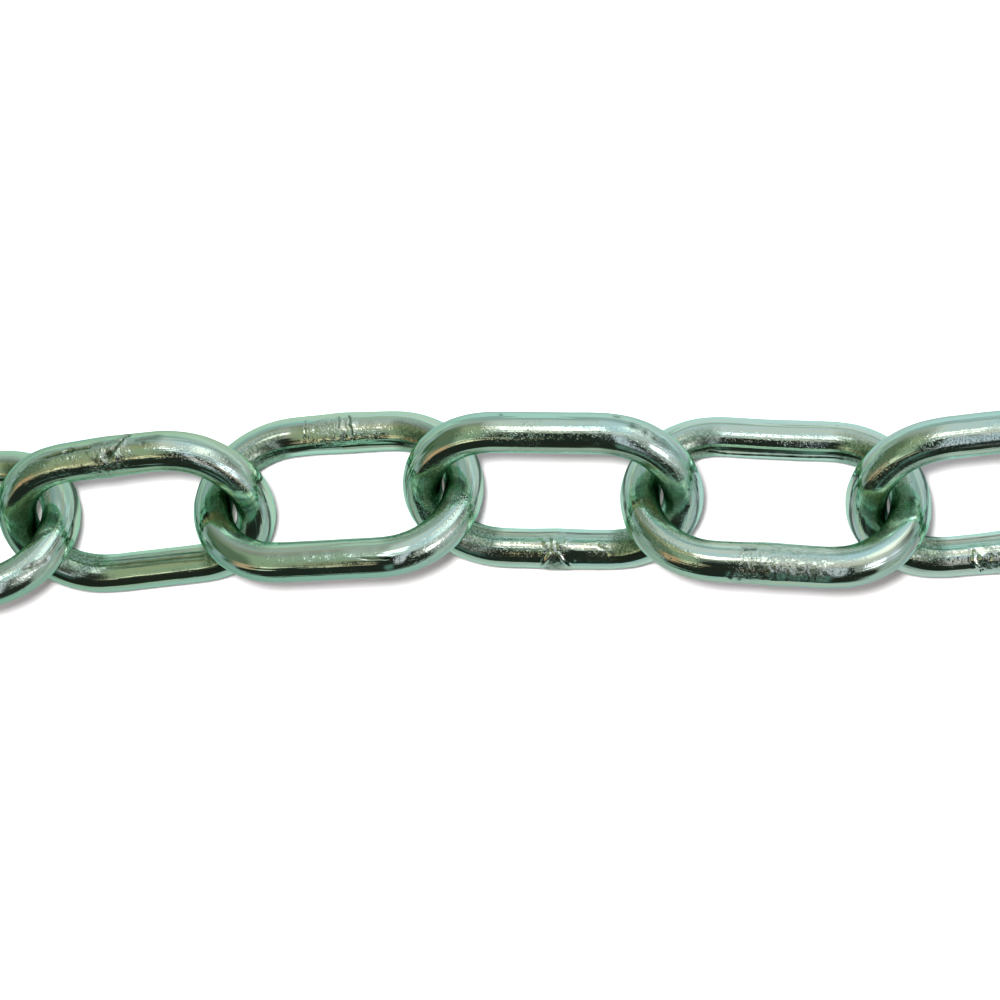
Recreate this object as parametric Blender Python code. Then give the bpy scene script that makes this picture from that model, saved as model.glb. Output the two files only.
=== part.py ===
"""A one metre length of welded straight-link steel chain, laid out on a level floor.

Units are metres, +Z is up, and the chain runs along X. Each link is a round wire bent to a
long oval and butt-welded shut, and it hangs in the bends of its two neighbours. Pulled
straight and laid down, the links lean over by turns to one side and to the other, so each
one lies on one of its straight legs. Every other link rests on the leg at -Y.
"""
import math

import bmesh
import bpy
from mathutils import Matrix, Vector

# One link
WIRE = 0.006
INNER_LENGTH = 0.033
OUTER_WIDTH = 0.029
BEND_RADIUS = (OUTER_WIDTH - WIRE) / 2
LEG_HALF = INNER_LENGTH / 2 + WIRE / 2 - BEND_RADIUS

# How finely a link is faceted: the wire's section, and each quarter of a bend
SECTION_SIDES = 14
QUARTER_STEPS = 4

# The length of chain, and the play left where two links meet: one hook isn't pulled tight
LINKS = 30
PLAY = 0.0003
LOOSE_AFTER = 13
LOOSE_PLAY = 0.0015

# The lean brings one flat of the resting leg's section square onto the floor
FLATS_FROM_LEG_SIDE = 2
LEAN = math.pi / 2 - FLATS_FROM_LEG_SIDE * math.tau / SECTION_SIDES
CENTRE_HEIGHT = WIRE / 2 + BEND_RADIUS * math.sin(LEAN)

# The small turns, in degrees, by which the links wander off the straight line of the chain
STRAYS = {13: 1.0, 14: 5.5, 15: 2.0, 16: -2.0, 17: -4.0, 18: 5.0}
STRAY_SWING = 3.0
STRAY_STEP = 1.9

# The link that stays put when the others swing
HELD_LINK = 15

PLATE_COLOUR = (0.55, 0.62, 0.58, 1.0)
PLATE_ROUGHNESS = 0.28


def clear_scene():
    """Start from an empty scene."""
    for old in list(bpy.data.objects):
        bpy.data.objects.remove(old, do_unlink=True)


def zinc_plate(name):
    """Bright zinc plating on steel wire."""
    plate = bpy.data.materials.new(name)
    plate.use_nodes = True
    shader = plate.node_tree.nodes["Principled BSDF"]
    shader.inputs["Base Color"].default_value = PLATE_COLOUR
    shader.inputs["Metallic"].default_value = 1.0
    shader.inputs["Roughness"].default_value = PLATE_ROUGHNESS
    return plate


def section_points():
    """The wire's section as (outwards, sideways) pairs, its flats touching the round wire."""
    step = math.tau / SECTION_SIDES
    corner = WIRE / 2 / math.cos(step / 2)
    angles = [(side + 0.5) * step for side in range(SECTION_SIDES)]
    return [(corner * math.cos(angle), corner * math.sin(angle)) for angle in angles]


def ring_angles():
    """Where the bends are faceted, so that a flat lies across each leg's line and each apex."""
    step = math.pi / 2 / QUARTER_STEPS
    return [(ring + 0.5) * step for ring in range(4 * QUARTER_STEPS)]


def link_mesh(name, pivot):
    """One link, lying in its own XY plane along X, moved so that the pivot is its origin."""
    stretch = 1 / math.cos(math.pi / 4 / QUARTER_STEPS)
    form = bmesh.new()
    rings = []
    for angle in ring_angles():
        bend_centre = math.copysign(LEG_HALF, math.cos(angle))
        ring = []
        for outwards, sideways in section_points():
            radius = (BEND_RADIUS + outwards) * stretch
            across = radius * math.sin(angle)
            along = bend_centre + radius * math.cos(angle)
            ring.append(form.verts.new(Vector((along, across, sideways)) - pivot))
        rings.append(ring)
    for near, far in zip(rings, rings[1:] + rings[:1]):
        for side in range(SECTION_SIDES):
            after = (side + 1) % SECTION_SIDES
            form.faces.new((near[side], far[side], far[after], near[after]))
    bmesh.ops.recalc_face_normals(form, faces=form.faces)
    mesh = bpy.data.meshes.new(name)
    form.to_mesh(mesh)
    form.free()
    mesh.shade_smooth()
    return mesh


def stray(number):
    """A link's small turn in plan, in radians."""
    return math.radians(STRAYS.get(number, STRAY_SWING * math.sin(STRAY_STEP * number)))


def turn(number):
    """A link's turn in plan, then its lean: even links rest on the leg at -Y, odd ones at +Y."""
    lean = LEAN if number % 2 == 0 else -LEAN
    return Matrix.Rotation(stray(number), 3, "Z") @ Matrix.Rotation(lean, 3, "X")


def along(number):
    """The direction from a link's left end to its right end."""
    return turn(number) @ Vector((1, 0, 0))


def link_centres():
    """The middle of every link, each one hooked into the link before it."""
    centres = {1: Vector((0, 0, CENTRE_HEIGHT))}
    for number in range(2, LINKS + 1):
        play = LOOSE_PLAY if number - 1 == LOOSE_AFTER else PLAY
        reach = (INNER_LENGTH - play) / 2
        hook = centres[number - 1] + reach * along(number - 1)
        centres[number] = hook + reach * along(number)
    return centres


def hinge_point(number, centres):
    """The middle of the neighbour's wire that a link hangs on; the held link has none."""
    if number == HELD_LINK:
        return centres[number]
    side = -1 if number > HELD_LINK else 1
    neighbour = number + side
    return centres[neighbour] - side * (INNER_LENGTH + WIRE) / 2 * along(neighbour)


def add_link(number, centres, lay):
    """One link as an object whose origin is on the bend that it swings round."""
    name = f"link_{number:02d}"
    origin = hinge_point(number, centres)
    pivot = turn(number).inverted() @ (origin - centres[number])
    link = bpy.data.objects.new(name, link_mesh(name, pivot))
    bpy.context.scene.collection.objects.link(link)
    link.data.materials.append(zinc_plate(f"{name}_zinc_plate"))
    link.parent = lay
    link.location = origin
    link.rotation_euler = turn(number).to_euler()
    return link


def centre_of_floor(links):
    """The middle of the chain's outline on the floor."""
    bpy.context.view_layer.update()
    corners = [link.matrix_world @ vertex.co for link in links for vertex in link.data.vertices]
    middle = Vector((0, 0, 0))
    for axis in range(2):
        places = [corner[axis] for corner in corners]
        middle[axis] = (min(places) + max(places)) / 2
    return middle


def build_chain():
    """All the links, under one empty that centres the chain on the origin."""
    lay = bpy.data.objects.new("lay", None)
    bpy.context.scene.collection.objects.link(lay)
    centres = link_centres()
    links = [add_link(number, centres, lay) for number in range(1, LINKS + 1)]
    lay.location = -centre_of_floor(links)


clear_scene()
build_chain()
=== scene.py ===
import itertools
import math
import random

import bpy
import numpy as np
from mathutils import Matrix, Vector


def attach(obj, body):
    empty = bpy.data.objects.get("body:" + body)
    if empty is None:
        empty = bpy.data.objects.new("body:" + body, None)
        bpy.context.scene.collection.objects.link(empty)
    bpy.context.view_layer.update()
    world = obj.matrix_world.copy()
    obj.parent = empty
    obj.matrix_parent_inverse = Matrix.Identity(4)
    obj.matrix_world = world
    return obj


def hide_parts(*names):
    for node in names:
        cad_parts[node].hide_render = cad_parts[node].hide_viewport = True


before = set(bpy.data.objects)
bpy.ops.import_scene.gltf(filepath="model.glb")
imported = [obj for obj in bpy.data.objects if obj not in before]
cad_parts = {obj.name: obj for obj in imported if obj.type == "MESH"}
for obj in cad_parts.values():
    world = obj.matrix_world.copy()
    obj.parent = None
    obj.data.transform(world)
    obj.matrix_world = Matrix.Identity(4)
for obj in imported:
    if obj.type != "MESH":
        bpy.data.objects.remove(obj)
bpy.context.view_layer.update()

# The links: each is a length of bright drawn steel wire, bent to a long oval on a mandrel,
# butt-welded shut in the middle of one leg and plated with zinc in a barrel. The drawing die
# leaves lines along the wire, and the weld is a band of rough squeezed-out metal.

MM = 0.001
WIRE = 6.0 * MM

# How finely the skin is made: the links in the middle of the chain are worked finer
FINE_LINKS = range(13, 19)
FINE = {"around": 96, "plain_step": 0.42 * MM, "weld_step": 0.13 * MM, "weld_zone": 8.0 * MM}
PLAIN = {"around": 44, "plain_step": 0.55 * MM, "weld_step": 0.18 * MM, "weld_zone": 5.0 * MM}

# How far the change from a leg to a bend is spread, in how many shares, and the steps that the
# middle line is worked in
EASE = 3.0 * MM
EASE_SHARES = 17
MIDDLE_STEPS = 4000

# Which leg is welded: 1 is the leg at +Y, -1 the leg at -Y. Of the other links, every third
# one is welded at -Y.
WELD_LEGS = {13: 1, 14: 1, 15: 1, 16: -1, 17: -1, 18: -1}

# How far the leg at +Y, and the leg at -Y, is pushed out sideways by uneven bending, in
# millimetres, and how far along the leg the bow reaches
BOWS = {14: (0.25, 0.0), 15: (0.65, 0.0), 17: (-0.4, -0.2)}
BOW_REACH = 15.0 * MM

# How much further in a link's end at -X came out of the bending, and between which distances
# from the link's middle the difference grows
SHORTER = {14: 1.2 * MM}
SHORTER_FROM, SHORTER_TO = 3.0 * MM, 8.0 * MM

# The tool marks on a link. Places are pairs of millimetres along the wire from the weld, and
# degrees round the wire from the link's outer side towards its upper face.
# cut: a crack or gouge along several places, its width and its depth
# pit: a place, its size and its depth; a lump is a pit of negative depth
# rough: a place, its length, its reach round the wire in degrees, and its height
# grainy: a place, its length and its reach, where the zinc has grown in specks
MARKS = {
    13: {
        "pit": [((32.9, 36), 0.30, 0.16), ((33.9, 44), 0.34, 0.20), ((34.8, 50), 0.42, 0.20),
                ((35.6, 56), 0.30, 0.16), ((34.3, 56), 0.24, 0.12)],
        "rough": [((34.4, 48), 2.2, 22, 0.05)],
        "grainy": [((34, 70), 9, 40)],
    },
    14: {
        "cut": [(((0.7, 54), (1.4, 47), (2.2, 38), (2.9, 20), (4.0, -14)), 0.24, 0.20),
                (((-9.5, 29), (-7.4, 25), (-5.6, 21), (-3.5, 20), (-1.6, 19)), 0.20, 0.12),
                (((-6.4, 23), (-5.6, 21), (-4.8, 21)), 0.36, 0.14),
                (((-1.5, 17), (-0.2, 11), (0.8, 14), (1.9, 8), (2.8, 10)), 0.34, 0.06),
                (((5.6, 14), (6.6, 9), (7.6, 10), (8.8, 4)), 0.34, 0.06),
                (((43.0, 163), (48.0, 167), (56.0, 170), (62.0, 172)), 0.15, 0.09),
                (((43.0, 151), (48.0, 154), (56.0, 156), (62.0, 158)), 0.17, 0.10),
                (((43.0, 139), (48.0, 144), (56.0, 146), (61.0, 148)), 0.15, 0.08)],
        "pit": [((4.0, -13), 0.42, 0.30), ((1.3, 48), 0.60, 0.34), ((6.7, 21), 0.40, 0.08),
                ((2.4, 34), 0.34, 0.16), ((-0.6, 60), 0.30, 0.14), ((3.2, 6), 0.36, 0.18),
                ((0.4, 30), 0.30, -0.10), ((2.6, 55), 0.34, -0.10)],
        "rough": [((1.4, 40), 3.8, 66, 0.09), ((0.0, 95), 2.4, 40, 0.08)],
        "grainy": [((16, 50), 9, 40), ((1, 80), 5, 40), ((-8, 60), 6, 40)],
    },
    15: {
        "cut": [(((1.3, 76), (1.65, 90), (1.45, 104), (1.85, 118), (1.9, 137)), 0.15, 0.20),
                (((-0.3, 78), (-0.1, 94), (-0.25, 112)), 0.12, 0.07),
                (((42.6, 48), (44.4, 52), (46.6, 55)), 0.13, 0.10)],
        "pit": [((-5.6, 84), 0.16, 0.08), ((-5.55, 95), 0.14, 0.09), ((-5.6, 106), 0.18, 0.08),
                ((-5.5, 117), 0.15, 0.09), ((-5.55, 130), 0.20, 0.10), ((2.2, 100), 0.3, -0.08)],
        "rough": [((-1.9, 115), 3.9, 62, 0.055), ((4.2, 137), 2.6, 14, 0.05)],
        "grainy": [((35, 35), 7, 45), ((33, 70), 6, 35), ((3, 125), 7, 40)],
    },
    16: {
        "cut": [(((2.35, 62), (1.5, 90), (0.6, 118)), 0.20, -0.15),
                (((-2.42, 62), (-1.6, 90), (-0.7, 118)), 0.20, -0.15),
                (((1.5, 58), (0.6, 54), (-0.4, 57), (-1.4, 54)), 0.20, 0.26),
                (((-6.9, 148), (-8.0, 140), (-8.9, 116)), 0.20, -0.09)],
        "pit": [((45.8, -7), 0.24, 0.16), ((-42.2, -9), 0.28, 0.14), ((0.3, 133), 0.32, -0.14),
                ((-0.8, 146), 0.36, -0.14), ((1.3, 150), 0.32, -0.12), ((-1.7, 156), 0.3, -0.12),
                ((0.2, 160), 0.34, -0.12), ((-0.1, 104), 0.7, 0.06), ((0.7, 86), 0.8, 0.06),
                ((-0.8, 86), 0.8, 0.06), ((0.0, 74), 1.3, 0.06), ((-40.2, 14), 0.34, 0.10),
                ((-38.6, 20), 0.30, 0.10), ((-37.4, 27), 0.26, 0.08)],
        "rough": [((0.0, 148), 3.0, 34, 0.09), ((0.0, 85), 1.5, 40, 0.05),
                  ((-39.0, 22), 2.2, 26, 0.045), ((-7.6, 140), 1.5, 22, 0.03)],
        "grainy": [((47, 50), 8, 26), ((-44, 45), 6, 22), ((-35, 62), 7, 34), ((12, 128), 5, 26),
                   ((6, 132), 5, 24), ((-8, 138), 5, 26), ((28, 110), 10, 50)],
    },
    17: {
        "cut": [(((41.6, 172), (44.4, 186), (52.1, 183), (58.0, 182), (62.6, 181)), 0.14, 0.16),
                (((2.2, 97), (2.9, 96), (3.7, 94)), 0.20, 0.16)],
        "pit": [((5.4, 4), 0.34, -0.12), ((4.3, -3), 0.36, -0.12), ((3.1, 5), 0.30, -0.10),
                ((44.3, 187), 0.34, 0.14)],
        "rough": [((-2.6, 76), 8.2, 66, 0.065), ((3.9, 8), 2.2, 26, 0.08)],
        "grainy": [((19, 95), 8, 40), ((14, 70), 6, 30), ((-3, 70), 10, 50), ((46, 122), 9, 24),
                   ((-50, 122), 8, 22)],
    },
    18: {
        "cut": [(((4.6, 140), (4.9, 118), (4.2, 96), (3.9, 74)), 0.22, -0.12)],
        "pit": [((3.4, 120), 0.5, -0.14), ((2.2, 108), 0.5, -0.12), ((8.1, 126), 0.36, -0.09),
                ((3.9, 70), 0.40, -0.12)],
        "rough": [((1.4, 105), 3.6, 60, 0.085)],
        "grainy": [((43, 50), 8, 34), ((35, 78), 7, 34), ((50, 55), 7, 26), ((10, 128), 7, 26)],
    },
}


def link_axes(node):
    """The link's middle, its directions along, across and square to its oval, and its size."""
    corners = np.array([vertex.co for vertex in node.data.vertices])
    middle = (corners.min(0) + corners.max(0)) / 2
    longest_first = np.linalg.svd(corners - middle, full_matrices=False)[2]
    lengthwise = longest_first[0] * np.sign(longest_first[0][0])
    facing = longest_first[2] * np.sign(longest_first[2][2])
    across = np.cross(facing, lengthwise)
    length = np.ptp(corners @ lengthwise)
    width = np.ptp(corners @ across)
    return middle, np.array((lengthwise, across, facing)), length, width


def grain(points, seed):
    """Smooth random values from -1 to 1, at points counted in cells."""
    cell = np.floor(points).astype(np.int64)
    part = points - cell
    part = part * part * (3 - 2 * part)
    total = np.zeros(points.shape[:-1])
    for corner in itertools.product((0, 1), repeat=3):
        place = cell + corner
        mix = place[..., 0] * 73856093 ^ place[..., 1] * 19349663 ^ place[..., 2] * 83492791
        mix = (mix ^ seed * 668265263) & 0x7FFFFFFF
        mix = (mix ^ mix >> 15) * 739982445 & 0x7FFFFFFF
        mix = (mix ^ mix >> 12) * 695872825 & 0x7FFFFFFF
        value = (mix & 0xFFFF) / 32767.5 - 1
        share = np.where(corner, part, 1 - part).prod(-1)
        total += value * share
    return total


def stops(run, skill):
    """Where the wire's rings stand along it, closer together at the weld, which is at 0."""
    zone, step = skill["weld_zone"], skill["weld_step"]
    fine = np.arange(0, zone, step)
    plain_count = round((run - 2 * zone) / skill["plain_step"])
    plain = np.linspace(zone, run - zone, plain_count, endpoint=False)
    return np.concatenate((fine, plain, run - fine[:0:-1]))


def middle_line(at, leg_half, radius):
    """Points and outward directions along a link's middle line, from the middle of a leg."""
    bend = math.pi * radius
    corners = np.cumsum([0, leg_half, bend, 2 * leg_half, bend, leg_half])
    headings = -math.pi * np.array([0, 0, 1, 1, 2, 2])
    fine = np.linspace(0, corners[-1], MIDDLE_STEPS)
    # The wire goes over into its bend little by little
    shifts = np.linspace(-EASE, EASE, EASE_SHARES)
    weights = 1.05 - (shifts / EASE) ** 2
    bent = [np.interp(fine + shift, corners, headings) for shift in shifts]
    heading = np.average(bent, axis=0, weights=weights)
    step = np.stack((np.cos(heading), np.sin(heading)), -1)
    points = np.cumsum(step, axis=0) - step / 2
    points -= (points.max(0) + points.min(0)) / 2
    points *= np.array((leg_half + radius, radius)) / points.max(0)
    outward = np.stack((-step[:, 1], step[:, 0]), -1)
    found = [np.interp(at, fine, column) for column in (*points.T, *outward.T)]
    return np.stack(found[:2], -1), np.stack(found[2:], -1)


def gap_to_path(along, around, places, run):
    """How far each point of the unrolled skin is from a path of places, in metres."""
    nearest = np.full(along.shape, np.inf)
    spots = [(mm * MM, math.radians(degrees) * WIRE / 2) for mm, degrees in places]
    if len(spots) == 1:
        spots = spots * 2
    half_round = math.pi * WIRE / 2
    for (start_s, start_t), (end_s, end_t) in zip(spots, spots[1:]):
        ds = (along - start_s + run / 2) % run - run / 2
        dt = (around * WIRE / 2 - start_t + half_round) % (math.pi * WIRE) - half_round
        step_s, step_t = end_s - start_s, end_t - start_t
        share = (ds * step_s + dt * step_t) / max(step_s ** 2 + step_t ** 2, 1e-12)
        share = np.clip(share, 0, 1)
        nearest = np.minimum(nearest, np.hypot(ds - share * step_s, dt - share * step_t))
    return nearest


# How many pits, lumps of flash and grainy places a link out of the middle gets by chance
CHANCE_PITS, CHANCE_LUMPS, CHANCE_GRAINY = 5, 6, 7


def marks_of(number):
    """The marks of a link: those seen in the middle of the chain, or its own chance ones."""
    if number in MARKS:
        return MARKS[number]
    chance = random.Random(number)
    face = chance.uniform(-180, 180)
    crack = [(chance.uniform(-1.5, 1.5), face + 22 * step) for step in range(chance.randint(3, 6))]
    gouge_start = chance.uniform(8, 80)
    gouge_face = chance.uniform(-180, 180)
    gouge = [(gouge_start + 4 * step, gouge_face + chance.uniform(-3, 3)) for step in range(4)]
    pits = []
    for _ in range(CHANCE_PITS):
        place = (chance.uniform(-50, 50), chance.uniform(-180, 180))
        pits.append((place, chance.uniform(0.22, 0.4), chance.uniform(0.06, 0.14)))
    lumps = []
    for _ in range(CHANCE_LUMPS):
        place = (chance.uniform(-2, 2), chance.uniform(-180, 180))
        lumps.append((place, chance.uniform(0.3, 0.5), -chance.uniform(0.06, 0.14)))
    rough = []
    for turn in range(3):
        place = (chance.uniform(-1, 1), face + 120 * turn)
        rough.append((place, chance.uniform(2.2, 4.5), 85, 0.05))
    grainy = []
    for _ in range(CHANCE_GRAINY):
        place = (chance.uniform(-55, 55), chance.uniform(-180, 180))
        grainy.append((place, chance.uniform(5, 10), chance.uniform(25, 50)))
    cuts = [(crack, 0.2, 0.16), (gouge, 0.18, 0.1)]
    return {"cut": cuts, "pit": pits + lumps, "rough": rough, "grainy": grainy}


# How cuts and pits are worked: how ragged their edge is and how fine its raggedness, which
# random grain it takes, and the height and place of the lip pushed up round them
MARK_KINDS = {
    "cut": (0.35, 0.5 * MM, 21, 0.35, 1.9),
    "pit": (0.3, 0.4 * MM, 33, 0.2, 1.8),
}
# Cuts and pits are coloured darker the deeper they are, partly for stains in them and partly as
# painted shade in the hollow. A mark as deep as this, in millimetres, is as dark as they come
DARK_DEPTH = 0.11
DARK_REACH = 1.2

# The crumbs of a rough place, coarse and fine: their share of its height, their size and grain
CRUMBS = ((0.6, 0.62 * MM, 50), (0.4, 0.3 * MM, 90))


def from_place(along, around, place, length, reach, run):
    """How far each point of the skin is from a place, counted in the size of a patch there."""
    ahead = ((along - place[0] * MM + run / 2) % run - run / 2) / (length * MM)
    beside = np.angle(np.exp(1j * (around - math.radians(place[1])))) / math.radians(reach)
    return np.hypot(ahead, beside)


def tooled(along, around, straight, number, run):
    """The height of a link's marks over its skin, and masks of its rough places, of the stains and
    painted shade in its cuts and pits, and of its grainy places.
    """
    marks = marks_of(number)
    height = np.zeros_like(along)
    rough = np.zeros_like(along)
    stain_and_shade = np.zeros_like(along)
    grainy = np.zeros_like(along)
    for place, length, reach in marks.get("grainy", ()):
        ragged = from_place(along, around, place, length, reach, run)
        ragged = ragged + 0.45 * grain(straight / (1.3 * MM), number + 60)
        grainy = np.maximum(grainy, np.clip((1.2 - ragged) / 0.9, 0, 1))
    crumbs = sum(share * grain(straight / size, number + seed) for share, size, seed in CRUMBS)
    for place, length, reach, tall in marks.get("rough", ()):
        ragged = from_place(along, around, place, length, reach, run)
        ragged = ragged + 0.25 * grain(straight / (1.1 * MM), number + 7)
        patch = np.clip((1.25 - ragged) / 0.8, 0, 1) ** 1.5
        rough = np.maximum(rough, patch)
        height = height + patch * (tall * MM) * (0.4 + 1.3 * crumbs)
    for kind, (ragged, fineness, seed, lip, lip_place) in MARK_KINDS.items():
        for places, width, depth in marks.get(kind, ()):
            if kind == "pit":
                places = (places,)
            gap = gap_to_path(along, around, places, run) / (width * MM)
            gap = gap * (1 + ragged * grain(straight / fineness, number + seed))
            height -= depth * MM * (np.exp(-gap ** 2) - lip * np.exp(-(gap - lip_place) ** 2))
            # Painted shade: a cut or pit is darkened in colour by its depth, together with any stain
            # in it
            if depth > 0:
                shade = min(depth / DARK_DEPTH, 1) * np.exp(-(gap / DARK_REACH) ** 2)
                stain_and_shade = np.maximum(stain_and_shade, shade)
    return height, rough, stain_and_shade, grainy


# The heights of what the drawing die, the bending, the barrel and the welding leave on the wire
FLAT_HEIGHTS = (0.020 * MM, 0.012 * MM)
FLAT_WANDER = 0.35
DRAWN_LINES = 6
LINE_DEPTH, LINE_WIDTH = 0.05 * MM, 0.22 * MM
BEND_FLATTENING = 0.05 * MM
BEND_START = 2 * MM
DENT_HEIGHT, DENT_SIZE = 0.035 * MM, 3.2 * MM
RIPPLE_HEIGHT, RIPPLE_SIZE = 0.012 * MM, 1.2 * MM
UPSET_HEIGHT, UPSET_REACH = 0.10 * MM, 2.6 * MM

# Each link starts its lines, and takes its grain, at another place
NEXT_PHASE = 2.4
NEXT_LINE = 1.13
NEXT_GRAIN = 0.02


def wire_height(number, lap, around, ring, in_bend, from_weld):
    """How far the plain wire stands over or under a true round, before its marks."""
    # The die's faint flats and lines run along the wire, and fade in and out
    phase = number * NEXT_PHASE
    wander = FLAT_WANDER * np.sin(lap + phase)
    height = FLAT_HEIGHTS[0] * np.cos(3 * around + phase + wander)
    height += FLAT_HEIGHTS[1] * np.cos(5 * around - 2 * phase - 2 * wander)
    for line in range(DRAWN_LINES):
        place = (phase + NEXT_LINE * line) % math.tau + 0.10 * np.sin(lap * (line + 1) + line)
        gap = np.angle(np.exp(1j * (around - place))) * WIRE / 2
        fade = 0.5 + 0.5 * np.sin(lap + 2.3 * line + phase)
        height -= LINE_DEPTH * fade * np.exp(-(gap / LINE_WIDTH) ** 2)
    # Bending flattens the wire a little, and barrelling leaves shallow dents
    height -= BEND_FLATTENING * in_bend * np.cos(2 * around)
    height += DENT_HEIGHT * grain(ring / DENT_SIZE, number)
    height += RIPPLE_HEIGHT * grain(ring / RIPPLE_SIZE, number + 3)
    # The weld is upset a little thicker than the wire
    height += UPSET_HEIGHT * np.exp(-(from_weld / UPSET_REACH) ** 2)
    return height


def link_skin(number, leg_half, radius, welded, sideways):
    """A link's skin as a grid of points in its own axes, and what its material needs to know."""
    skill = FINE if number in FINE_LINKS else PLAIN
    run = 4 * leg_half + math.tau * radius
    at = stops(run, skill)
    points, outward = middle_line(at, leg_half, radius)
    turn = np.arange(skill["around"]) * math.tau / skill["around"]
    along, around = np.meshgrid(at, turn, indexing="ij")
    straight = np.stack((np.cos(around) * WIRE / 2, np.sin(around) * WIRE / 2, along), -1)
    # The grain meets itself at the weld by going round a ring as long as the wire
    from_middle = run / math.tau + straight[..., 0]
    lap = math.tau * along / run
    ring = np.stack((np.cos(lap) * from_middle, straight[..., 1], np.sin(lap) * from_middle), -1)
    from_weld = np.minimum(along, run - along)
    in_bend = np.clip((from_weld - leg_half) / BEND_START, 0, 1)
    in_bend *= np.clip((run / 2 - leg_half - from_weld) / BEND_START, 0, 1)
    skin_height = wire_height(number, lap, around, ring, in_bend, from_weld)
    marked, rough, stain_and_shade, grainy = tooled(along, around, ring, number, run)
    skin_height += marked
    out = np.concatenate((outward, np.zeros((len(at), 1))), -1)[:, None, :]
    line = np.concatenate((points, np.zeros((len(at), 1))), -1)[:, None, :]
    swing = np.cos(around)[..., None] * out + np.sin(around)[..., None] * np.array((0, 0, 1))
    skin = line + (WIRE / 2 + skin_height)[..., None] * swing
    if welded < 0:
        skin = skin * (-1, -1, 1)
    for side, bow in zip((1, -1), BOWS.get(number, (0, 0))):
        near = np.exp(-(skin[..., 0] / BOW_REACH) ** 2) * np.clip(skin[..., 1] * side / radius, 0, 1)
        skin = skin + near[..., None] * bow * MM * side * sideways
    share = np.clip((-skin[..., 0] - SHORTER_FROM) / (SHORTER_TO - SHORTER_FROM), 0, 1)
    shift = SHORTER.get(number, 0) * share * share * (3 - 2 * share)
    skin = skin + shift[..., None] * np.array((1, 0, 0))
    notes = {"drawn": ring + np.array((0, NEXT_GRAIN * number, 0)), "lines": straight}
    notes.update({"rough": rough, "stain_and_shade": stain_and_shade, "grainy": grainy})
    # The inner side of a bend is rubbed by the neighbour that hangs in it, and is also painted
    # darker there as painted shade between the links
    notes["rubbed_and_shaded"] = in_bend * np.clip((0.10 - np.cos(around)) / 0.60, 0, 1)
    return skin, notes


def link_mesh(name, skin, notes, middle, axes):
    """The skin as a closed mesh at its place in the chain."""
    rings, sides = skin.shape[:2]
    index = np.arange(rings * sides).reshape(rings, sides)
    ahead = np.roll(index, -1, axis=0)
    faces = np.stack((index, np.roll(index, -1, axis=1), np.roll(ahead, -1, axis=1), ahead), -1)
    mesh = bpy.data.meshes.new(name)
    corners = skin.reshape(-1, 3) @ axes + middle
    mesh.from_pydata(corners.tolist(), [], faces.reshape(-1, 4).tolist())
    mesh.shade_smooth()
    for title, values in notes.items():
        vectors = values.ndim == 3
        layer = mesh.attributes.new(title, "FLOAT_VECTOR" if vectors else "FLOAT", "POINT")
        layer.data.foreach_set("vector" if vectors else "value", values.astype(np.float32).ravel())
    return mesh


def math_node(tree, kind, first, second=0):
    """The output of a maths node that is fed by numbers or by other nodes."""
    node = tree.nodes.new("ShaderNodeMath")
    node.operation = kind
    for socket, value in zip(node.inputs, (first, second)):
        if isinstance(value, (int, float)):
            socket.default_value = value
        else:
            tree.links.new(value, socket)
    return node.outputs["Value"]


def spread(tree, value, low, high, to_low=0, to_high=1):
    """A value carried over from one range to another, and held at its ends."""
    node = tree.nodes.new("ShaderNodeMapRange")
    amounts = zip(("From Min", "From Max", "To Min", "To Max"), (low, high, to_low, to_high))
    for title, amount in amounts:
        node.inputs[title].default_value = amount
    tree.links.new(value, node.inputs["Value"])
    return node.outputs["Result"]


def blend(tree, mask, first, second):
    """Two colours, given or from other nodes: the second one where the mask is 1."""
    node = tree.nodes.new("ShaderNodeMix")
    node.data_type = "RGBA"
    tree.links.new(mask, node.inputs["Factor"])
    for socket, value in zip((node.inputs["A"], node.inputs["B"]), (first, second)):
        if isinstance(value, tuple):
            socket.default_value = value
        else:
            tree.links.new(value, socket)
    return node.outputs["Result"]


def noise(tree, source, scale, lengthwise, detail):
    """Random values, drawn out along the wire where the lengthwise share is small."""
    mapping = tree.nodes.new("ShaderNodeMapping")
    mapping.inputs["Scale"].default_value = (1, 1, lengthwise)
    tree.links.new(source, mapping.inputs["Vector"])
    texture = tree.nodes.new("ShaderNodeTexNoise")
    texture.inputs["Scale"].default_value = scale
    texture.inputs["Detail"].default_value = detail
    tree.links.new(mapping.outputs["Vector"], texture.inputs["Vector"])
    return texture.outputs["Fac"]


PLATE = (0.66, 0.95, 0.78, 1)
PLATE_WARM = (0.76, 0.93, 0.68, 1)
PLATE_COOL = (0.58, 0.94, 0.82, 1)
WELD_METAL = (0.68, 0.91, 0.74, 1)
# Dark green for the inner side of the bends: partly rubbing wear, partly painted shade between the
# links
RUBBED_AND_SHADED = (0.20, 0.34, 0.22, 1)
# Dark colour for cuts and pits: partly stains and pit specks, partly painted shade in the hollows
PIT_STAIN_AND_SHADE = (0.14, 0.20, 0.12, 1)
EDGE_TINT = (0.58, 0.92, 0.78, 1)

# The plating's random patterns: their cells to a metre, the share of that along the wire, and
# how many finer layers they have
STREAKS = (900, 0.03, 2)
SCRATCHES = (3200, 0.012, 2)
PATCHES = (170, 1, 2)
SPECKLE = (2700, 1, 1)
THREADS = (1500, 0.008, 2)

# How rough the plating is where it is smoothest and dullest, what a weld and rubbing add to it,
# and how high the finest relief stands
SMOOTHEST, DULLEST = 0.05, 0.12
WELD_DULLER, RUBBED_DULLER = 0.12, 0.10
RELIEF = 0.03 * MM


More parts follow.
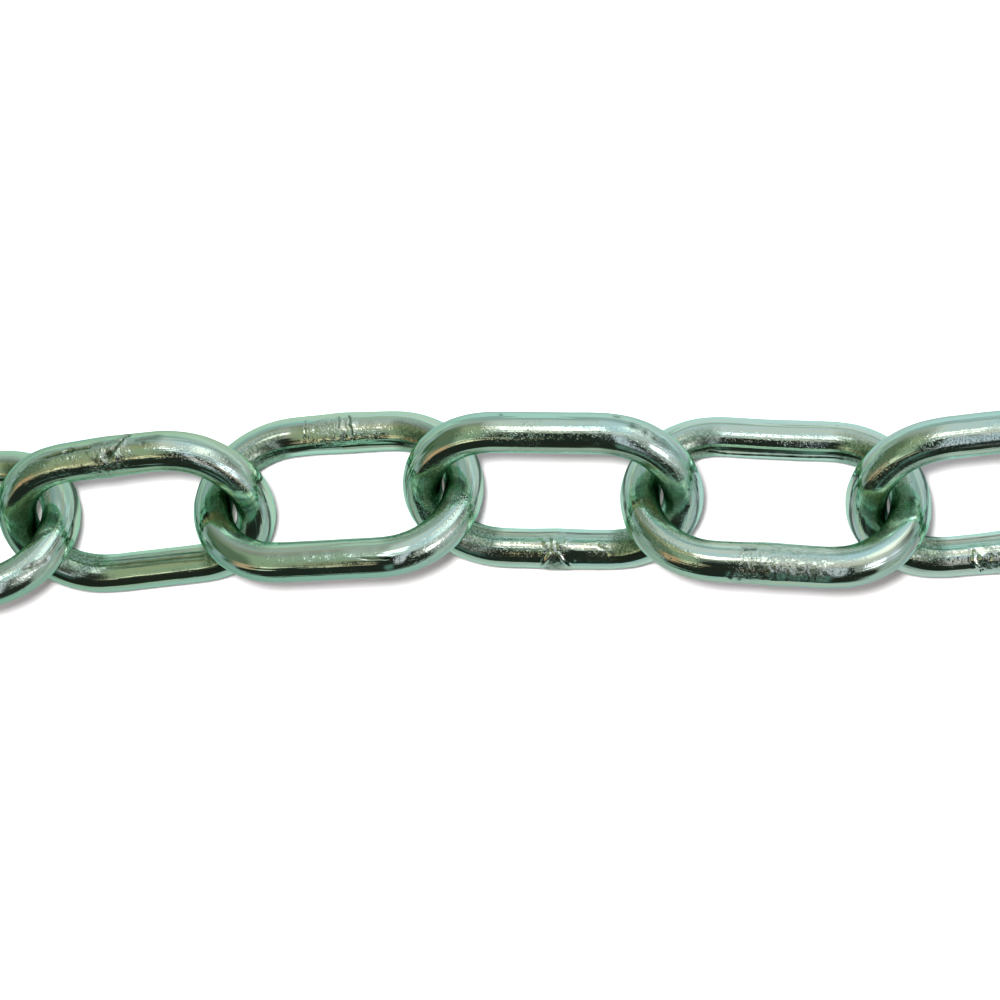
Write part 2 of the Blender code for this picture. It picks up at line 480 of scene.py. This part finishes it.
def zinc_plate():
    """Bright zinc over drawn wire: pale green metal with fine lines, grain and pits."""
    material = bpy.data.materials.new("zinc_plate")
    material.use_nodes = True
    tree = material.node_tree
    shader = tree.nodes["Principled BSDF"]
    shader.inputs["Metallic"].default_value = 1
    shader.inputs["Specular Tint"].default_value = EDGE_TINT

    # The masks and places that link_skin left on the mesh
    def note(title, output="Fac"):
        node = tree.nodes.new("ShaderNodeAttribute")
        node.attribute_name = title
        return node.outputs[output]

    drawn = note("drawn", "Vector")
    lines = note("lines", "Vector")
    rough = note("rough")
    stain_and_shade = note("stain_and_shade")
    grainy = note("grainy")
    rubbed_and_shaded = note("rubbed_and_shaded")
    streaks = noise(tree, lines, *STREAKS)
    scratches = noise(tree, lines, *SCRATCHES)
    patches = noise(tree, drawn, *PATCHES)
    speckle = noise(tree, drawn, *SPECKLE)
    threads = noise(tree, lines, *THREADS)

    colour = blend(tree, spread(tree, streaks, 0.46, 0.64), PLATE, PLATE_WARM)
    colour = blend(tree, spread(tree, streaks, 0.46, 0.30), colour, PLATE_COOL)
    colour = blend(tree, math_node(tree, "MULTIPLY", rough, 0.6), colour, WELD_METAL)
    wear_and_shade_speckle = spread(tree, speckle, 0.62, 0.38, 0.55, 1.0)
    # Painted shade: the inner side of each bend is coloured dark green, for the rubbing there and
    # for the shade between the links
    colour = blend(tree, math_node(tree, "MULTIPLY", rubbed_and_shaded, wear_and_shade_speckle), colour, RUBBED_AND_SHADED)
    pits = spread(tree, speckle, 0.70, 0.78)
    pitted = math_node(tree, "MULTIPLY", pits, spread(tree, patches, 0.5, 0.62))
    # Painted shade in cuts and pits, with their stains, and dark pit specks at random
    colour = blend(tree, math_node(tree, "MAXIMUM", stain_and_shade, pitted), colour, PIT_STAIN_AND_SHADE)
    tree.links.new(colour, shader.inputs["Base Color"])

    gloss = spread(tree, patches, 0.35, 0.65, SMOOTHEST, DULLEST)
    gloss = math_node(tree, "ADD", gloss, math_node(tree, "MULTIPLY", rough, WELD_DULLER))
    gloss = math_node(tree, "ADD", gloss, math_node(tree, "MULTIPLY", rubbed_and_shaded, RUBBED_DULLER))
    tree.links.new(gloss, shader.inputs["Roughness"])

    # The zinc stands up in sparse specks, more of them in grainy places and on the weld
    raised = spread(tree, speckle, 0.60, 0.72)
    specks = math_node(tree, "SUBTRACT", raised, spread(tree, speckle, 0.40, 0.28))
    grown = spread(tree, patches, 0.46, 0.66, 0.02, 0.24)
    grown = math_node(tree, "ADD", grown, math_node(tree, "MULTIPLY", grainy, 0.62))
    grown = math_node(tree, "ADD", grown, math_node(tree, "MULTIPLY", rough, 0.7))
    height = math_node(tree, "MULTIPLY", specks, grown)
    height = math_node(tree, "ADD", height, scratches)
    height = math_node(tree, "ADD", height, math_node(tree, "MULTIPLY", threads, 1.2))
    bump = tree.nodes.new("ShaderNodeBump")
    bump.inputs["Strength"].default_value = 1
    bump.inputs["Distance"].default_value = RELIEF
    tree.links.new(height, bump.inputs["Height"])
    tree.links.new(bump.outputs["Normal"], shader.inputs["Normal"])
    return material


plate = zinc_plate()
for name in sorted(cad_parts):
    number = int(name.split("_")[1])
    middle, axes, length, width = link_axes(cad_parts[name])
    level = axes @ np.array((0, 0, 1))
    sideways = np.array((0, 1, 0)) - level * level[1]
    sideways /= np.linalg.norm(sideways)
    welded = WELD_LEGS.get(number, 1 if number % 3 else -1)
    skin, notes = link_skin(number, (length - width) / 2, (width - WIRE) / 2, welded, sideways)
    link = bpy.data.objects.new(f"{name}_plated", link_mesh(name, skin, notes, middle, axes))
    bpy.context.scene.collection.objects.link(link)
    link.data.materials.append(plate)
    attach(link, name)
    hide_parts(name)

# The floor: a plain sheet of matt white paper under the chain. What the plating mirrors of it is
# painted apart, as painted shade and painted reflection: darker in bands across Y, lighter and bluer
# towards +X, and darker the longer the way to it.

FLOOR_HALF = 40.0
PAPER = (0.86, 0.86, 0.86, 1)
PAPER_ROUGHNESS, PAPER_SPECULAR = 0.9, 0.1
# The painted tone that the plating mirrors, by how far a place of the floor lies towards +Y
PAPER_MIRRORED = (
    (-0.060, (0.34, 0.38, 0.37, 1)),
    (-0.022, (0.23, 0.21, 0.23, 1)),
    (-0.004, (0.31, 0.30, 0.32, 1)),
    (0.024, (0.27, 0.25, 0.27, 1)),
    (0.060, (0.44, 0.47, 0.48, 1)),
)
# Painted: towards +X it is mirrored a little lighter and bluer
MIRRORED_FROM, MIRRORED_TO = -0.06, 0.06
LEFT_SHARE = (0.84, 1.00, 0.88, 1)
RIGHT_SHARE = (1.18, 1.16, 1.22, 1)
# Painted: the longer the way from the plating to the floor, the darker it is mirrored
NEAR_WAY, FAR_WAY = 8.0 * MM, 45.0 * MM
NEAR_SHARE, FAR_SHARE = 1.12, 0.62


def white_paper():
    """Matt white paper, with what the plating mirrors of it painted apart in darker tones."""
    material = bpy.data.materials.new("paper")
    material.use_nodes = True
    tree = material.node_tree
    shader = tree.nodes["Principled BSDF"]
    shader.inputs["Roughness"].default_value = PAPER_ROUGHNESS
    shader.inputs["Specular IOR Level"].default_value = PAPER_SPECULAR
    ray = tree.nodes.new("ShaderNodeLightPath")
    place = tree.nodes.new("ShaderNodeTexCoord")
    across = tree.nodes.new("ShaderNodeSeparateXYZ")
    tree.links.new(place.outputs["Object"], across.inputs["Vector"])

    near, far = PAPER_MIRRORED[0][0], PAPER_MIRRORED[-1][0]
    tones = tree.nodes.new("ShaderNodeValToRGB")
    for y, tone in PAPER_MIRRORED[1:-1]:
        tones.color_ramp.elements.new((y - near) / (far - near))
    for stop, (y, tone) in zip(tones.color_ramp.elements, PAPER_MIRRORED):
        stop.color = tone
    tree.links.new(spread(tree, across.outputs["Y"], near, far), tones.inputs["Fac"])

    side = spread(tree, across.outputs["X"], MIRRORED_FROM, MIRRORED_TO)
    sides = blend(tree, side, LEFT_SHARE, RIGHT_SHARE)
    way = spread(tree, ray.outputs["Ray Length"], NEAR_WAY, FAR_WAY, NEAR_SHARE, FAR_SHARE)
    sided = tree.nodes.new("ShaderNodeVectorMath")
    sided.operation = "MULTIPLY"
    tree.links.new(tones.outputs["Color"], sided.inputs[0])
    tree.links.new(sides, sided.inputs[1])
    faded = tree.nodes.new("ShaderNodeVectorMath")
    faded.operation = "SCALE"
    tree.links.new(sided.outputs["Vector"], faded.inputs[0])
    tree.links.new(way, faded.inputs["Scale"])
    # Painted reflection: glossy rays see the painted tones, and the camera sees plain white paper
    seen = blend(tree, ray.outputs["Is Glossy Ray"], PAPER, faded.outputs["Vector"])
    tree.links.new(seen, shader.inputs["Base Color"])
    return material


floor_mesh = bpy.data.meshes.new("floor")
floor_corners = [(-FLOOR_HALF, -FLOOR_HALF, 0), (FLOOR_HALF, -FLOOR_HALF, 0),
                 (FLOOR_HALF, FLOOR_HALF, 0), (-FLOOR_HALF, FLOOR_HALF, 0)]
floor_mesh.from_pydata(floor_corners, [], [(0, 1, 2, 3)])
floor_mesh.materials.append(white_paper())
floor = bpy.data.objects.new("floor", floor_mesh)
bpy.context.scene.collection.objects.link(floor)

# The camera: it stands over the middle of the chain and looks down on it, as in the photograph,
# turned a little towards +X.

VIEW_DISTANCE = 43.85 * WIRE
FOCAL = 63.4
NEAREST = 0.01
# How far it is turned from straight down about X, Y and Z, and where it aims from link_16
TIP = (math.radians(3.140), math.radians(8.943), math.radians(1.133))
AIM = Vector((-1.295, -0.165, 0)) * WIRE

scene = bpy.context.scene
aim = Vector(link_axes(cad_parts["link_16"])[0]) + AIM
look = Matrix.Rotation(-TIP[1], 3, "Y") @ Matrix.Rotation(TIP[0], 3, "X")
look = look @ Matrix.Rotation(TIP[2], 3, "Z")
camera_data = bpy.data.cameras.new("camera")
camera_data.lens = FOCAL
camera_data.clip_start = NEAREST
camera = bpy.data.objects.new("camera", camera_data)
scene.collection.objects.link(camera)
eye = aim + look.transposed() @ Vector((0, 0, VIEW_DISTANCE))
camera.matrix_world = Matrix.Translation(eye) @ look.transposed().to_4x4()
scene.camera = camera

# The light: a soft room of pale cards and dark flags round the table, which the plating
# mirrors, a lamp beside the camera for the tight soft shadow, and a weak sun over the rest.

ROOM = (0.24, 0.22, 0.20, 1)
BACKDROP = (0.50, 0.46, 0.47, 1)

# The lamp stands to the picture's top left of the camera, and lights the far floor as well
LAMP_RADIUS = 0.018
LAMP_POWER = 64
LAMP_PLACE = Vector((-0.020, 0.022, VIEW_DISTANCE))
SUN_POWER = 0.3
SUN_WIDTH = math.radians(25)

# How square the cards are between an oval at 2 and a true square far above it
SQUARENESS = 3
# Each card's middle and half size, in degrees from straight up towards +X and +Y, how soft its
# edge is, and its colour
CARDS = {
    "far_wall": ((0, 118), (140, 52), 0.45, (0.58, 0.55, 0.57)),
    "far_right": ((32, 104), (34, 40), 0.30, (0.66, 0.63, 0.74)),
    "left_flag": ((-74, 14), (22, 60), 0.45, (0.05, 0.10, 0.05)),
    "right_flag": ((72, 34), (18, 32), 0.45, (0.15, 0.13, 0.13)),
    "ceiling": ((20, 40), (36, 40), 0.20, (0.66, 0.59, 0.61)),
    "cool_ceiling": ((25, 52), (27, 32), 0.35, (0.60, 0.60, 0.71)),
    "khaki_wall": ((-36, 0), (23, 44), 0.28, (0.33, 0.34, 0.24)),
    "olive_card": ((-50, 6), (15, 40), 0.35, (0.13, 0.15, 0.10)),
    "window": ((55, -12), (24, 24), 0.60, (0.55, 0.47, 0.52)),
    "warm_card": ((-47, -31), (11, 8), 0.60, (0.66, 0.34, 0.22)),
    "horizon": ((82, 0), (7, 1), 0.60, (0.36, 0.38, 0.39)),
    "low_flag": ((-6, -62), (60, 26), 0.10, (0.018, 0.020, 0.016)),
    "tall_flag": ((4, -40), (20, 41), 0.08, (0.018, 0.020, 0.017)),
    "gap": ((9.8, -21), (5.5, 29), 0.30, (0.62, 0.54, 0.66)),
    "teal_card": ((0, -64), (4.0, 16), 0.45, (0.12, 0.19, 0.18)),
    "front_strip": ((-4, 22), (8.5, 6.2), 0.25, (2.6, 2.2, 2.45)),
    "right_strip": ((33, 38), (12, 14), 0.60, (1.30, 1.15, 1.20)),
    "right_lamp": ((43, -16), (8, 11), 0.50, (2.60, 2.00, 2.40)),
    "low_lamp": ((60, -4), (6, 8), 0.70, (0.95, 0.80, 1.00)),
    "left_glint": ((-23, -29), (9, 3.5), 0.70, (1.30, 1.00, 0.75)),
}


def card_group():
    """A card with a soft edge and round corners: how much of it covers a direction."""
    group = bpy.data.node_groups.new("card", "ShaderNodeTree")
    for title in ("Right", "Up", "Middle Right", "Middle Up", "Half Width", "Half Height", "Edge"):
        group.interface.new_socket(title, in_out="INPUT", socket_type="NodeSocketFloat")
    group.interface.new_socket("Mask", in_out="OUTPUT", socket_type="NodeSocketFloat")
    given = group.nodes.new("NodeGroupInput").outputs
    result = group.nodes.new("NodeGroupOutput")
    sides = []
    for way, half in (("Right", "Half Width"), ("Up", "Half Height")):
        offset = math_node(group, "SUBTRACT", given[way], given[f"Middle {way}"])
        offset = math_node(group, "DIVIDE", offset, given[half])
        offset = math_node(group, "ABSOLUTE", offset)
        sides.append(math_node(group, "POWER", offset, SQUARENESS))
    away = math_node(group, "POWER", math_node(group, "ADD", *sides), 1 / SQUARENESS)
    fade = group.nodes.new("ShaderNodeMapRange")
    fade.interpolation_type = "SMOOTHSTEP"
    group.links.new(away, fade.inputs["Value"])
    group.links.new(math_node(group, "ADD", 1, given["Edge"]), fade.inputs["From Min"])
    group.links.new(math_node(group, "SUBTRACT", 1, given["Edge"]), fade.inputs["From Max"])
    group.links.new(fade.outputs["Result"], result.inputs["Mask"])
    return group


def studio_room():
    """The surroundings: each card laid over the ones before it."""
    world = bpy.data.worlds.new("studio_room")
    world.use_nodes = True
    tree = world.node_tree
    place = tree.nodes.new("ShaderNodeTexCoord")
    direction = tree.nodes.new("ShaderNodeSeparateXYZ")
    tree.links.new(place.outputs["Generated"], direction.inputs["Vector"])
    right, up, height = direction.outputs
    from_top = math_node(tree, "MULTIPLY", math_node(tree, "ARCCOSINE", height), math.degrees(1))
    squares = [math_node(tree, "MULTIPLY", way, way) for way in (right, up)]
    level = math_node(tree, "SQRT", math_node(tree, "ADD", *squares))
    scale = math_node(tree, "DIVIDE", from_top, math_node(tree, "MAXIMUM", level, 1e-5))
    to_right, to_up = [math_node(tree, "MULTIPLY", way, scale) for way in (right, up)]
    group = card_group()
    colour = ROOM
    for title, (middle_of, half, edge, tint) in CARDS.items():
        card = tree.nodes.new("ShaderNodeGroup")
        card.node_tree = group
        card.label = title
        # The horizon goes all the way round, so only its distance from straight up counts
        if title == "horizon":
            tree.links.new(from_top, card.inputs["Right"])
        else:
            tree.links.new(to_right, card.inputs["Right"])
            tree.links.new(to_up, card.inputs["Up"])
        for socket, value in zip(list(card.inputs)[2:], (*middle_of, *half, edge)):
            socket.default_value = value
        colour = blend(tree, card.outputs["Mask"], colour, (*tint, 1))
    ray = tree.nodes.new("ShaderNodeLightPath")
    seen = blend(tree, ray.outputs["Is Camera Ray"], colour, BACKDROP)
    tree.links.new(seen, tree.nodes["Background"].inputs["Color"])
    return world


scene.view_settings.view_transform = "Standard"
scene.world = studio_room()

lamp_data = bpy.data.lights.new("lamp", "POINT")
lamp_data.shadow_soft_size = LAMP_RADIUS
lamp_data.energy = LAMP_POWER
lamp_data.use_nodes = True
falloff = lamp_data.node_tree.nodes.new("ShaderNodeLightFalloff")
falloff.inputs["Strength"].default_value = 1
glow = lamp_data.node_tree.nodes["Emission"]
lamp_data.node_tree.links.new(falloff.outputs["Constant"], glow.inputs["Strength"])
lamp = bpy.data.objects.new("lamp", lamp_data)
lamp.location = aim + look.transposed() @ LAMP_PLACE
lamp.visible_glossy = False
scene.collection.objects.link(lamp)

sun_data = bpy.data.lights.new("sun", "SUN")
sun_data.energy = SUN_POWER
sun_data.angle = SUN_WIDTH
sun = bpy.data.objects.new("sun", sun_data)
sun.visible_glossy = False
scene.collection.objects.link(sun)
